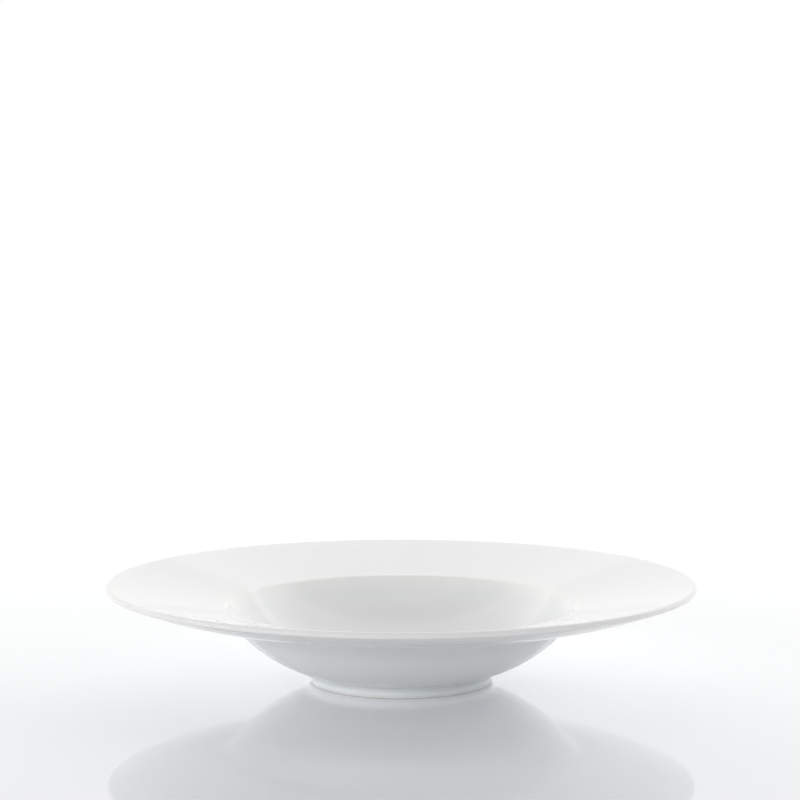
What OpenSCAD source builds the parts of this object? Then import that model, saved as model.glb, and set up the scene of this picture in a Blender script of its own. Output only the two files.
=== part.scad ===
// Pasta bowl: a deep plate of glazed porcelain, with a round well, a wide rising rim and a foot ring.
// It is turned about the Z axis and stands on the table at z = 0. Sizes are in millimetres, over the glaze.
// The fired body carries two coats of glaze, which the bare standing edge of the foot ring keeps apart.

/* [Rim] */
// Diameter over the lip
bowl_d = 300; // [270:1:330]
// Height of the lip above the table
bowl_h = 52; // [46:0.5:60]
// Thickness of the rounded lip
lip_t = 3; // [2.4:0.1:5]
// Slope of the rim's upper face, rising outwards, in degrees
rim_slope = 11.5; // [7:0.5:15]
// Thickness of the rim, straight down, where it meets the well
rim_t = 4.4; // [3.4:0.1:8]
// Radius of the rim's underside, which bulges
rim_curve_r = 160; // [130:2:220]
// Radius of the hollow under the rim, where it meets the wall
under_rim_r = 8; // [3:0.5:14]

/* [Well] */
// Diameter of the well where it meets the rim
well_d = 179; // [160:1:200]
// Radius of the well's curved wall
well_curve_r = 75; // [66:1:90]
// Radius of the soft edge between the well and the rim
well_edge_r = 4; // [1:0.5:8]
// Thickness of the well's wall and floor
wall_t = 3; // [2.5:0.1:6]

/* [Foot] */
// Outer diameter of the foot ring
foot_d = 94; // [80:0.5:110]
// Width of the foot ring
foot_w = 3.6; // [2.8:0.1:6]
// Radius of the hollow between the foot ring and the wall
foot_outer_r = 4; // [0.5:0.1:5]
// Radius of the hollow between the foot ring and the base
foot_inner_r = 1.5; // [0.5:0.1:2.5]
// Radius on both edges of the standing face
foot_edge_r = 0.8; // [0.3:0.1:1.1]
// Height of the base above the table, inside the foot ring
base_gap = 2.5; // [2:0.1:5]

/* [Glaze] */
// Thickness of the glaze
glaze_t = 0.3; // [0.15:0.05:0.5]
// Height above the table at which the glaze stops on the foot ring
glaze_line = 1.2; // [1.1:0.05:1.5]

/* [Hidden] */

// Widest gap between a round stretch of the outline and its chords
chord_gap = 0.01;
// How far a cut runs past what it cuts
overrun = 1;
// Steps of a full turn about the axis
$fn = 180;

lip_r = lip_t / 2;
lip_c = [bowl_d / 2 - lip_r, bowl_h - lip_r];

floor_z = base_gap + wall_t;
well_r = well_d / 2;
// Height of the rim's upper face where it meets the well
well_edge_z = lip_c.y + lip_r / cos(rim_slope) - (lip_c.x - well_r) * tan(rim_slope);
// What the rim's underside curves about, on its way from the lip to below the well's edge
rim_curve_c = between(lip_c, rim_curve_r - lip_r, [well_r, well_edge_z - rim_t], rim_curve_r);
wall_c_z = floor_z + well_curve_r;
wall_c = [well_r - leg(well_curve_r, wall_c_z - well_edge_z), wall_c_z];
outer_curve_r = well_curve_r + wall_t;

foot_r = foot_d / 2;
foot_bore_r = foot_r - foot_w;
// The hollow outside the foot ring is limited by its wall: at the most it reaches down to the glaze line
foot_hollow_r = min(foot_outer_r, hollow_down_to(glaze_line));

// Centres of the soft corners, which the outline keeps at any depth under the surface
well_edge_c = beside_wall(rim_slope, well_edge_r - lip_r, well_curve_r + well_edge_r);
under_rim_c = between(wall_c, outer_curve_r + under_rim_r, rim_curve_c, rim_curve_r + under_rim_r);
foot_outer_c = below_wall(foot_r + foot_hollow_r, outer_curve_r + foot_hollow_r);
foot_inner_c = below_wall(foot_bore_r - foot_inner_r, outer_curve_r + foot_inner_r);

// The other leg of a right triangle
function leg(long_side, side) = sqrt(long_side * long_side - side * side);
// The direction of an angle
function toward(angle) = [cos(angle), sin(angle)];
// The angle at which one point sees another
function bearing(from, to) = atan2(to.y - from.y, to.x - from.x);
// The point that lies a drop below a sloping line through the lip, and at a distance from the wall's centre
function beside_wall(slope, drop, distance) =
    let (on_line = lip_c - drop * toward(slope + 90), to_centre = wall_c - on_line)
    let (along = to_centre * toward(slope), across = to_centre * toward(slope + 90))
    on_line + (along + leg(distance, across)) * toward(slope);
// The point at a distance from each of two points, to the right of the way from the first to the second
function between(first, first_distance, second, second_distance) =
    let (way = second - first, angle = bearing(first, second))
    let (along = (way * way + pow(first_distance, 2) - pow(second_distance, 2)) / (2 * norm(way)))
    first + along * toward(angle) + leg(first_distance, along) * toward(angle - 90);
// What the base curves about at a radius: the wall's centre, or a point straight over the flat middle
function centre_over(radius) = [min(radius, wall_c.x), wall_c.y];
// The point at a radius that lies under the wall or the base, at a distance from what it curves about
function below_wall(radius, distance) = [radius, wall_c.y - leg(distance, radius - centre_over(radius).x)];
// The radius of a hollow outside the foot ring whose end on the ring's wall lies at a height
function hollow_down_to(height) =
    let (reach = foot_r - wall_c.x, drop = wall_c.y - height)
    (drop * drop + reach * reach - outer_curve_r * outer_curve_r) / (2 * (outer_curve_r - reach));
// Points along an arc, in steps that keep its chords close to it
function arc(centre, radius, first, last) =
    let (steps = ceil(abs(last - first) / (2 * acos(1 - chord_gap / radius))))
    [for (i = [0:steps]) centre + radius * toward(first + (last - first) * i / max(steps, 1))];
function reversed(path) = [for (i = [len(path) - 1:-1:0]) path[i]];

// The paths below run at a depth under the finished surface: zero for the glaze, its thickness for the body

// From the middle of the well, over the rim and the lip, down to the foot ring's outer wall
function upper_path(depth) =
    let (lip_bearing = bearing(rim_curve_c, lip_c), rim_bearing = bearing(rim_curve_c, under_rim_c))
    let (foot_bearing = bearing(centre_over(foot_outer_c.x), foot_outer_c))
    concat(
        [[0, floor_z - depth]],
        arc(wall_c, well_curve_r + depth, -90, bearing(wall_c, well_edge_c)),
        arc(well_edge_c, well_edge_r - depth, bearing(well_edge_c, wall_c), rim_slope + 90),
        arc(lip_c, lip_r - depth, rim_slope + 90, lip_bearing),
        arc(rim_curve_c, rim_curve_r - depth, lip_bearing, rim_bearing),
        arc(under_rim_c, under_rim_r + depth, rim_bearing + 180, bearing(under_rim_c, wall_c)),
        arc(wall_c, outer_curve_r - depth, bearing(wall_c, under_rim_c), foot_bearing),
        arc(foot_outer_c, foot_hollow_r + depth, foot_bearing + 180, 180));

// Round the foot of the ring, whose standing face is bare and stays on the table
function standing_path(depth) = concat(
    arc([foot_r - depth - foot_edge_r, foot_edge_r], foot_edge_r, 0, -90),
    arc([foot_bore_r + depth + foot_edge_r, foot_edge_r], foot_edge_r, -90, -180));

// From the foot ring's inner wall to the middle of the base
function base_path(depth) =
    let (base_c = centre_over(foot_inner_c.x), base_bearing = bearing(base_c, foot_inner_c))
    concat(
        arc(foot_inner_c, foot_inner_r + depth, 0, base_bearing + 180),
        arc(base_c, outer_curve_r - depth, base_bearing, -90),
        [[0, base_gap + depth]]);

// The fired porcelain body, in one piece: rim, well, base and foot ring
module porcelain_body() {
    color("ivory")
        rotate_extrude()
            polygon(concat(upper_path(glaze_t), standing_path(glaze_t), base_path(glaze_t)));
}

// A coat of glaze between its surface and the body under it, wiped off the foot of the ring
module glaze_section(surface, under) {
    difference() {
        polygon(concat(surface, reversed(under)));
        translate([0, -overrun])
            square([foot_r + overrun, glaze_line + overrun]);
    }
}

// The main coat of glaze: inside, over the lip and down the outside to the foot ring
module glaze_coat() {
    color("white")
        rotate_extrude()
            glaze_section(
                concat(upper_path(0), [[foot_r, 0]]),
                concat(upper_path(glaze_t), [[foot_r - glaze_t, 0]]));
}

// The second coat of glaze, on the base inside the foot ring
module base_glaze() {
    color("white")
        rotate_extrude()
            glaze_section(
                concat([[foot_bore_r, 0]], base_path(0)),
                concat([[foot_bore_r + glaze_t, 0]], base_path(glaze_t)));
}

porcelain_body();
glaze_coat();
base_glaze();
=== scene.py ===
import math

import bpy
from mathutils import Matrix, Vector


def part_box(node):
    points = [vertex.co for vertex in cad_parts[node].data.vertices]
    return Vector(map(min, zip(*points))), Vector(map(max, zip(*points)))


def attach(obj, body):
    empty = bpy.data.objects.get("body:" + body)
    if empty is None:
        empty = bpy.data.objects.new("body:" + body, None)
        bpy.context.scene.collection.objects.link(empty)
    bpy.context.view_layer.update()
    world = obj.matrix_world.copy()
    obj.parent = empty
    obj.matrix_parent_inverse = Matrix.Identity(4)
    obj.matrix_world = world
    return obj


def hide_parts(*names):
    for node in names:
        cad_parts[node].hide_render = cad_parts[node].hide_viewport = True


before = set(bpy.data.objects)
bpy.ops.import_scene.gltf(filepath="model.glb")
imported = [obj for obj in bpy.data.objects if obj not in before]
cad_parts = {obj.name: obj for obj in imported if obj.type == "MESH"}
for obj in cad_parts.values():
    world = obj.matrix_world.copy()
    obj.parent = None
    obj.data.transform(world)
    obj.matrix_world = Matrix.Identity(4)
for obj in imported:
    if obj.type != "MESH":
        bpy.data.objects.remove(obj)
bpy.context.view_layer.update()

# Sizes that the frame gives
COAT_LOW, COAT_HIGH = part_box("glaze_coat")
BASE_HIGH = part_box("base_glaze")[1]
BOWL_R = COAT_HIGH.x
BOWL_H = COAT_HIGH.z
GLAZE_LINE = COAT_LOW.z

# Rim
LIP_R = 0.0015
RIM_SLOPE = math.radians(11.5)
RIM_T = 0.0044
RIM_CURVE_R = 0.160
UNDER_RIM_R = 0.008

# Well
WELL_R = 0.0895
WELL_CURVE_R = 0.075
WELL_EDGE_R = 0.004
WALL_T = 0.003

# Foot
GLAZE_T = 0.0003
FOOT_W = 0.0036
FOOT_BORE_R = BASE_HIGH.x - GLAZE_T
FOOT_R = FOOT_BORE_R + FOOT_W
FOOT_OUTER_R = 0.004
FOOT_INNER_R = 0.0015
FOOT_EDGE_R = 0.0008
BASE_GAP = 0.0025

# Fineness of the turned meshes
TURN_STEPS = 288
CHORD_GAP = 0.000004
LONGEST_STEP = 0.0025
FEWEST_STEPS = 2
# Points of a turned mesh that lie on the axis, one at each end of its outline
AXIS_POINTS = 2

# The wiped edge of the glaze: how far it strays, and its waves as (count round the ring, share, start)
WIPE_STRAY = 0.00013
WIPE_WAVES = ((3, 0.45, 1.1), (8, 0.35, 0.4), (19, 0.2, 2.0))

# How far from an edge or a hollow the glaze is thinner or thicker
FLOW_REACH = 0.0035
EVEN_FLOW = 0.5
FLOW_NAME = "glaze_flow"

BODY = "root"
UP = math.pi / 2
HALF_TURN = math.pi


def leg(long_side, side):
    """The other leg of a right triangle."""
    return math.sqrt(long_side * long_side - side * side)


def toward(angle):
    """The direction of an angle, in the plane of the outline."""
    return Vector((math.cos(angle), math.sin(angle)))


def bearing(start, end):
    """The angle at which one point sees another."""
    return math.atan2(end.y - start.y, end.x - start.x)


def beside_wall(slope, drop, distance):
    """The point a drop below a sloping line through the lip, and at a distance from the wall's centre."""
    on_line = LIP_C - drop * toward(slope + UP)
    to_centre = WALL_C - on_line
    along = to_centre.dot(toward(slope))
    across = to_centre.dot(toward(slope + UP))
    return on_line + (along + leg(distance, across)) * toward(slope)


def between(first, first_distance, second, second_distance):
    """The point at a distance from each of two points, to the right of the way between them."""
    way = second - first
    angle = bearing(first, second)
    along = (way.length_squared + first_distance ** 2 - second_distance ** 2) / (2 * way.length)
    return first + along * toward(angle) + leg(first_distance, along) * toward(angle - UP)


def centre_over(radius):
    """What the base curves about at a radius: the wall's centre, or a point over the flat middle."""
    return Vector((min(radius, WALL_C.x), WALL_C.y))


def below_wall(radius, distance):
    """The point at a radius under the wall or the base, at a distance from what it curves about."""
    return Vector((radius, WALL_C.y - leg(distance, radius - centre_over(radius).x)))


def arc(centre, radius, first, last):
    """Points along an arc, in steps that keep its chords close to it."""
    widest = 2 * math.acos(1 - CHORD_GAP / radius)
    steps = max(FEWEST_STEPS, math.ceil(abs(last - first) / widest))
    return [centre + radius * toward(first + (last - first) * i / steps) for i in range(steps + 1)]


# Centres of the outline's round stretches
LIP_C = Vector((BOWL_R - LIP_R, BOWL_H - LIP_R))
FLOOR_Z = BASE_GAP + WALL_T
WELL_EDGE_Z = LIP_C.y + LIP_R / math.cos(RIM_SLOPE) - (LIP_C.x - WELL_R) * math.tan(RIM_SLOPE)
WALL_C_Z = FLOOR_Z + WELL_CURVE_R
WALL_C = Vector((WELL_R - leg(WELL_CURVE_R, WALL_C_Z - WELL_EDGE_Z), WALL_C_Z))
OUTER_CURVE_R = WELL_CURVE_R + WALL_T
RIM_CURVE_C = between(LIP_C, RIM_CURVE_R - LIP_R, Vector((WELL_R, WELL_EDGE_Z - RIM_T)), RIM_CURVE_R)
WELL_EDGE_C = beside_wall(RIM_SLOPE, WELL_EDGE_R - LIP_R, WELL_CURVE_R + WELL_EDGE_R)
UNDER_RIM_C = between(WALL_C, OUTER_CURVE_R + UNDER_RIM_R, RIM_CURVE_C, RIM_CURVE_R + UNDER_RIM_R)
FOOT_OUTER_C = below_wall(FOOT_R + FOOT_OUTER_R, OUTER_CURVE_R + FOOT_OUTER_R)
FOOT_INNER_C = below_wall(FOOT_BORE_R - FOOT_INNER_R, OUTER_CURVE_R + FOOT_INNER_R)

EDGES = ((LIP_C, LIP_R), (WELL_EDGE_C, WELL_EDGE_R))
HOLLOWS = ((UNDER_RIM_C, UNDER_RIM_R), (FOOT_OUTER_C, FOOT_OUTER_R), (FOOT_INNER_C, FOOT_INNER_R))


# Outlines, as (radius, height), at a depth under the finished surface
def upper_path(depth):
    """From the middle of the well, over the rim and the lip, down to the foot ring's outer wall."""
    lip_bearing = bearing(RIM_CURVE_C, LIP_C)
    rim_bearing = bearing(RIM_CURVE_C, UNDER_RIM_C)
    foot_bearing = bearing(centre_over(FOOT_OUTER_C.x), FOOT_OUTER_C)
    path = [Vector((0, FLOOR_Z - depth))]
    path += arc(WALL_C, WELL_CURVE_R + depth, -UP, bearing(WALL_C, WELL_EDGE_C))
    path += arc(WELL_EDGE_C, WELL_EDGE_R - depth, bearing(WELL_EDGE_C, WALL_C), RIM_SLOPE + UP)
    path += arc(LIP_C, LIP_R - depth, RIM_SLOPE + UP, lip_bearing)
    path += arc(RIM_CURVE_C, RIM_CURVE_R - depth, lip_bearing, rim_bearing)
    path += arc(UNDER_RIM_C, UNDER_RIM_R + depth, rim_bearing + HALF_TURN, bearing(UNDER_RIM_C, WALL_C))
    path += arc(WALL_C, OUTER_CURVE_R - depth, bearing(WALL_C, UNDER_RIM_C), foot_bearing)
    path += arc(FOOT_OUTER_C, FOOT_OUTER_R + depth, foot_bearing + HALF_TURN, HALF_TURN)
    return path


def standing_path(depth):
    """Round the bare foot of the ring, whose standing face stays on the table."""
    outer_c = Vector((FOOT_R - depth - FOOT_EDGE_R, FOOT_EDGE_R))
    inner_c = Vector((FOOT_BORE_R + depth + FOOT_EDGE_R, FOOT_EDGE_R))
    return arc(outer_c, FOOT_EDGE_R, 0, -UP) + arc(inner_c, FOOT_EDGE_R, -UP, -HALF_TURN)


def base_path(depth):
    """From the foot ring's inner wall to the middle of the base."""
    base_c = centre_over(FOOT_INNER_C.x)
    base_bearing = bearing(base_c, FOOT_INNER_C)
    path = arc(FOOT_INNER_C, FOOT_INNER_R + depth, 0, base_bearing + HALF_TURN)
    path += arc(base_c, OUTER_CURVE_R - depth, base_bearing, -UP)
    return path + [Vector((0, BASE_GAP + depth))]


def glaze_bead(outer_r):
    """The rounded end of a coat of glaze on the foot ring, from its outer side to its inner side."""
    return arc(Vector((outer_r - GLAZE_T / 2, GLAZE_LINE + GLAZE_T / 2)), GLAZE_T / 2, 0, -HALF_TURN)


def refined(path):
    """A path with no doubled points and no step longer than the longest one."""
    fine = [path[0]]
    for point in path[1:]:
        step = point - fine[-1]
        if step.length < CHORD_GAP:
            continue
        start = fine[-1]
        parts = math.ceil(step.length / LONGEST_STEP)
        fine += [start + step * i / parts for i in range(1, parts + 1)]
    return fine


def wipe(angle):
    """How far the wiped edge of the glaze rises or falls at an angle round the ring."""
    return WIPE_STRAY * sum(share * math.sin(count * angle + start) for count, share, start in WIPE_WAVES)


def near(point, rounds):
    """How near a point of the outline lies to any of some round stretches, from 0 to 1."""
    gaps = [(point - centre).length - radius for centre, radius in rounds]
    return max(math.exp(-(gap / FLOW_REACH) ** 2) for gap in gaps)


def glaze_flow(point):
    """How thick the glaze has run: 0 on sharp edges, 1 in hollows, a half elsewhere."""
    return EVEN_FLOW + EVEN_FLOW * (near(point, HOLLOWS) - near(point, EDGES))


def turned(name, outline, wiped_below=None):
    """A closed smooth mesh, turned from an outline that starts and ends on the axis.
    Points lower than wiped_below stray with the wiped edge of the glaze."""
    path = refined(outline)
    rows = path[1:-1]
    points = [(0, 0, path[0].y), (0, 0, path[-1].y)]
    flow = [glaze_flow(path[0]), glaze_flow(path[-1])]
    row_flow = [glaze_flow(row) for row in rows]
    for step in range(TURN_STEPS):
        angle = 2 * math.pi * step / TURN_STEPS
        for row in rows:
            height = row.y
            if wiped_below is not None and height < wiped_below:
                height += wipe(angle) * (wiped_below - height) / (wiped_below - GLAZE_LINE)
            points.append((row.x * math.cos(angle), row.x * math.sin(angle), height))
        flow += row_flow
    mesh = bpy.data.meshes.new(name)
    mesh.from_pydata(points, [], turned_faces(len(rows)))
    mesh.shade_smooth()
    mesh.attributes.new(FLOW_NAME, "FLOAT", "POINT").data.foreach_set("value", flow)
    piece = bpy.data.objects.new(name, mesh)
    bpy.context.scene.collection.objects.link(piece)
    return piece


def turned_faces(row_count):
    """Faces of a turned mesh: a fan round each end on the axis, and bands of four-sided faces between."""
    faces = []
    for step in range(TURN_STEPS):
        here = AXIS_POINTS + step * row_count
        beside = AXIS_POINTS + (step + 1) % TURN_STEPS * row_count
        faces.append((0, here, beside))
        for row in range(row_count - 1):
            faces.append((here + row, here + row + 1, beside + row + 1, beside + row))
        faces.append((here + row_count - 1, 1, beside + row_count - 1))
    return faces


# Materials
NOISE_DETAIL = 2.0
# The values between which most of a noise lies
NOISE_LOW = 0.3
NOISE_HIGH = 0.7


def add_node(tree, kind, **values):
    """A node whose named inputs are set, with an underscore for each space."""
    made = tree.nodes.new(kind)
    for name, value in values.items():
        made.inputs[name.replace("_", " ")].default_value = value
    return made


def new_material(name):
    """A node material: its tree, its shader, and object coordinates in metres."""
    material = bpy.data.materials.new(name)
    material.use_nodes = True
    tree = material.node_tree
    shader = tree.nodes["Principled BSDF"]
    place = tree.nodes.new("ShaderNodeTexCoord").outputs["Object"]
    return material, tree, shader, place


def noise(tree, place, size, detail=NOISE_DETAIL):
    """Soft random values, with patches of about a size."""
    made = add_node(tree, "ShaderNodeTexNoise", Scale=1 / size, Detail=detail)
    tree.links.new(place, made.inputs["Vector"])
    return made.outputs[0]


def spread(tree, value, low, high, start=NOISE_LOW, end=NOISE_HIGH):
    """A varying value, drawn out from low to high."""
    made = add_node(tree, "ShaderNodeMapRange", From_Min=start, From_Max=end, To_Min=low, To_Max=high)
    tree.links.new(value, made.inputs["Value"])
    return made.outputs["Result"]


def total(tree, first, second):
    """The sum of two varying values."""
    made = tree.nodes.new("ShaderNodeMath")
    tree.links.new(first, made.inputs[0])
    tree.links.new(second, made.inputs[1])
    return made.outputs[0]


def ramp(tree, value, *stops):
    """A colour for a varying value, from stops of (position, colour)."""
    made = tree.nodes.new("ShaderNodeValToRGB")
    elements = made.color_ramp.elements
    while len(elements) < len(stops):
        elements.new(1)
    for element, (position, colour) in zip(elements, stops):
        element.position = position
        element.color = (*colour, 1)
    tree.links.new(value, made.inputs["Fac"])
    return made.outputs["Color"]


def bump(tree, shader, height, depth):
    """Relief of a real depth on a shader."""
    made = add_node(tree, "ShaderNodeBump", Distance=depth)
    tree.links.new(height, made.inputs["Height"])
    tree.links.new(made.outputs["Normal"], shader.inputs["Normal"])


GLAZE_THIN = (0.866, 0.860, 0.850)
GLAZE_WHITE = (0.849, 0.849, 0.847)
GLAZE_THICK = (0.790, 0.818, 0.822)
CLOUD_SIZE = 0.045
CLOUD_SHARE = 0.12
RIPPLE_SIZE = 0.014
PEEL_SIZE = 0.0016
PEEL_SHARE = 0.05
RIPPLE_DEPTH = 0.000002
GLAZE_ROUGHNESS = (0.05, 0.09)
GLAZE_IOR = 1.5


def white_glaze():
    """Clear gloss glaze over white porcelain: cooler where it gathers, faintly rippled."""
    material, tree, shader, place = new_material("white_glaze")
    flow = tree.nodes.new("ShaderNodeAttribute")
    flow.attribute_name = FLOW_NAME
    clouds = spread(tree, noise(tree, place, CLOUD_SIZE), -CLOUD_SHARE, CLOUD_SHARE)
    colour = ramp(tree, total(tree, flow.outputs["Fac"], clouds),
                  (0.0, GLAZE_THIN), (EVEN_FLOW, GLAZE_WHITE), (1.0, GLAZE_THICK))
    tree.links.new(colour, shader.inputs["Base Color"])
    roughness = spread(tree, noise(tree, place, RIPPLE_SIZE), *GLAZE_ROUGHNESS)
    tree.links.new(roughness, shader.inputs["Roughness"])
    peel = spread(tree, noise(tree, place, PEEL_SIZE), 0, PEEL_SHARE)
    bump(tree, shader, total(tree, noise(tree, place, RIPPLE_SIZE), peel), RIPPLE_DEPTH)
    shader.inputs["IOR"].default_value = GLAZE_IOR
    return material


CLAY_PALE = (0.800, 0.792, 0.775)
CLAY_DARK = (0.720, 0.710, 0.690)
MOTTLE_SIZE = 0.004
MOTTLE_DETAIL = 4.0
MOTTLE_SHARE = 0.6
GRAIN_SIZE = 0.00022
GRAIN_SHARE = 0.4
GRAIN_DEPTH = 0.00002
CLAY_ROUGHNESS = (0.52, 0.7)


def bare_porcelain():
    """Fired body without glaze: matte, finely grained, a little mottled."""
    material, tree, shader, place = new_material("bare_porcelain")
    mottle = noise(tree, place, MOTTLE_SIZE, MOTTLE_DETAIL)
    grain = noise(tree, place, GRAIN_SIZE)
    shade = total(tree, spread(tree, mottle, 0, MOTTLE_SHARE), spread(tree, grain, 0, GRAIN_SHARE))
    colour = ramp(tree, shade, (0.0, CLAY_DARK), (1.0, CLAY_PALE))
    tree.links.new(colour, shader.inputs["Base Color"])
    tree.links.new(spread(tree, grain, *CLAY_ROUGHNESS), shader.inputs["Roughness"])
    bump(tree, shader, grain, GRAIN_DEPTH)
    return material


# The pieces of the bowl
def dress(piece, node, material):
    """Puts a piece in the place of a CAD node, with its finish."""
    piece.data.materials.append(material)
    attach(piece, BODY)
    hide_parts(node)


def build_bowl():
    """The fired body and its two coats of glaze."""
    glaze = white_glaze()
    fired_body = turned("fired_body", upper_path(GLAZE_T) + standing_path(GLAZE_T) + base_path(GLAZE_T))
    dress(fired_body, "porcelain_body", bare_porcelain())

    outside = upper_path(0) + glaze_bead(FOOT_R) + upper_path(GLAZE_T)[::-1]
    dress(turned("main_glaze", outside, FOOT_OUTER_C.y), "glaze_coat", glaze)

    underneath = base_path(GLAZE_T)[::-1] + glaze_bead(FOOT_BORE_R + GLAZE_T) + base_path(0)
    dress(turned("foot_glaze", underneath, FOOT_INNER_C.y), "base_glaze", glaze)


# Floor, light and camera
FLOOR_HALF = 6.0
FLOOR_COLOUR = (0.753, 0.756, 0.764)
FLOOR_ROUGHNESS = 0.005
FLOOR_IOR = 1.5
# Painted glow: the floor emits a little cool light, though it is no lamp, which lifts the shade under and
# round the bowl
FLOOR_PAINTED_GLOW = 0.085
FLOOR_PAINTED_GLOW_COLOUR = (0.9, 0.97, 1.07)
# How far from the bowl the floor starts and ends its fading
FADE_START = 0.6
FADE_END = 1.6
AMBIENT = (0.97, 0.99, 1.02)
AMBIENT_STRENGTH = 0.02

# Lamps that light the bowl unseen, as name: (place, point that it faces, width, height, watts)
SOFT_LAMPS = {
    "back_wall": ((0, 1.6, 0.45), (0, 0, 0.45), 4.4, 0.9, 65),
    "right_wall": ((1.8, 0.5, 1.0), (0, 0.5, 1.0), 2.2, 2.0, 24),
    "ceiling": ((0, 0.2, 2.0), (0, 0.2, 0), 3.6, 2.2, 12.5),
    "left_fill": ((-1.9, -0.1, 0.4), (0, 0, 0), 2.0, 0.6, 9),
    "corner_fill": ((-1.5, -1.5, 0.5), (0, 0, 0), 1.4, 0.8, 13),
    "front_fill": ((0, -2.2, 0.6), (0, 0, 0), 3.0, 0.8, 14),
}
# Lamps that also show in the glaze and the floor
GLOSS_LAMPS = {
    "top_panel": ((0, 1.1, 1.547), (0, 0, 0), 4.4, 1.5, 17),
    "low_panel": ((0, 1.55, 0.95), (0, 0, 0), 4.4, 0.6, 1.5),
}

CAMERA_PLACE = (-0.0006, -1.0432, 0.2176)
CAMERA_PITCH = 0.0703
CAMERA_LENS = 92.44
SENSOR_WIDTH = 36.0


def seen_directly(tree):
    """1 where a surface is seen by the camera, in gloss or through glass, and 0 where it only lights."""
    path = tree.nodes.new("ShaderNodeLightPath")
    seen = path.outputs["Is Camera Ray"]
    for kind in ("Is Glossy Ray", "Is Transmission Ray"):
        either = tree.nodes.new("ShaderNodeMath")
        either.operation = "MAXIMUM"
        tree.links.new(seen, either.inputs[0])
        tree.links.new(path.outputs[kind], either.inputs[1])
        seen = either.outputs[0]
    return seen


def blend_shaders(tree, share, first, second, output):
    """Shows the first shader where the share is 0 and the second where it is 1."""
    mix = tree.nodes.new("ShaderNodeMixShader")
    tree.links.new(share, mix.inputs["Fac"])
    tree.links.new(first, mix.inputs[1])
    tree.links.new(second, mix.inputs[2])
    tree.links.new(mix.outputs["Shader"], output.inputs["Surface"])


def floor_material():
    """Pale gloss board under a clear sheet, which gives off a weak cool painted glow, though it is no
    lamp, that lifts the shade under and round the bowl.
    Away from the bowl it fades into the white background."""
    material, tree, shader, place = new_material("pale_floor")
    shader.inputs["Base Color"].default_value = (*FLOOR_COLOUR, 1)
    shader.inputs["Roughness"].default_value = FLOOR_ROUGHNESS
    shader.inputs["IOR"].default_value = FLOOR_IOR
    # Painted glow: emission on the floor, which lights the bowl from below like a weak lamp
    shader.inputs["Emission Color"].default_value = (*FLOOR_PAINTED_GLOW_COLOUR, 1)
    shader.inputs["Emission Strength"].default_value = FLOOR_PAINTED_GLOW
    shader.inputs["Coat Weight"].default_value = 1
    shader.inputs["Coat Roughness"].default_value = FLOOR_ROUGHNESS
    shader.inputs["Coat IOR"].default_value = FLOOR_IOR
    distance = tree.nodes.new("ShaderNodeVectorMath")
    distance.operation = "LENGTH"
    tree.links.new(place, distance.inputs[0])
    fade = spread(tree, distance.outputs["Value"], 0, 1, FADE_START, FADE_END)
    shown = tree.nodes.new("ShaderNodeMath")
    shown.operation = "MULTIPLY"
    tree.links.new(fade, shown.inputs[0])
    tree.links.new(seen_directly(tree), shown.inputs[1])
    white = add_node(tree, "ShaderNodeEmission", Strength=1)
    blend_shaders(tree, shown.outputs[0], shader.outputs["BSDF"], white.outputs["Emission"],
                  tree.nodes["Material Output"])
    return material


def build_floor():
    """A flat floor under the bowl."""
    mesh = bpy.data.meshes.new("floor")
    corners = [(x * FLOOR_HALF, y * FLOOR_HALF, 0) for x, y in ((-1, -1), (1, -1), (1, 1), (-1, 1))]
    mesh.from_pydata(corners, [], [(0, 1, 2, 3)])
    mesh.materials.append(floor_material())
    floor = bpy.data.objects.new("floor", mesh)
    bpy.context.scene.collection.objects.link(floor)


def build_world():
    """A white background to the eye, which lights the bowl only a little."""
    world = bpy.data.worlds.new("studio")
    world.use_nodes = True
    tree = world.node_tree
    ambient = tree.nodes["Background"]
    ambient.inputs["Color"].default_value = (*AMBIENT, 1)
    ambient.inputs["Strength"].default_value = AMBIENT_STRENGTH
    white = add_node(tree, "ShaderNodeBackground", Color=(1, 1, 1, 1), Strength=1)
    blend_shaders(tree, seen_directly(tree), ambient.outputs["Background"], white.outputs["Background"],
                  tree.nodes["World Output"])
    bpy.context.scene.world = world


def build_lamps(lamps, in_gloss):
    """Large soft lamps, which the camera doesn't see, and which gloss shows or not."""
    for name, (place, target, width, height, watts) in lamps.items():
        light = bpy.data.lights.new(name, "AREA")
        light.shape = "RECTANGLE"
        light.size = width
        light.size_y = height
        light.energy = watts
        lamp = bpy.data.objects.new(name, light)
        lamp.location = place
        lamp.rotation_euler = (Vector(target) - Vector(place)).to_track_quat("-Z", "Y").to_euler()
        lamp.visible_camera = False
        lamp.visible_glossy = in_gloss
        bpy.context.scene.collection.objects.link(lamp)


def build_camera():
    """The camera at the photograph's viewing angle, looking along +Y and a little down."""
    lens = bpy.data.cameras.new("camera")
    lens.lens = CAMERA_LENS
    lens.sensor_width = SENSOR_WIDTH
    camera = bpy.data.objects.new("camera", lens)
    camera.location = CAMERA_PLACE
    camera.rotation_euler = (UP - CAMERA_PITCH, 0, 0)
    bpy.context.scene.collection.objects.link(camera)
    bpy.context.scene.camera = camera


build_camera()
build_bowl()
build_floor()
build_world()
build_lamps(SOFT_LAMPS, False)
build_lamps(GLOSS_LAMPS, True)
bpy.context.scene.view_settings.view_transform = "Standard"
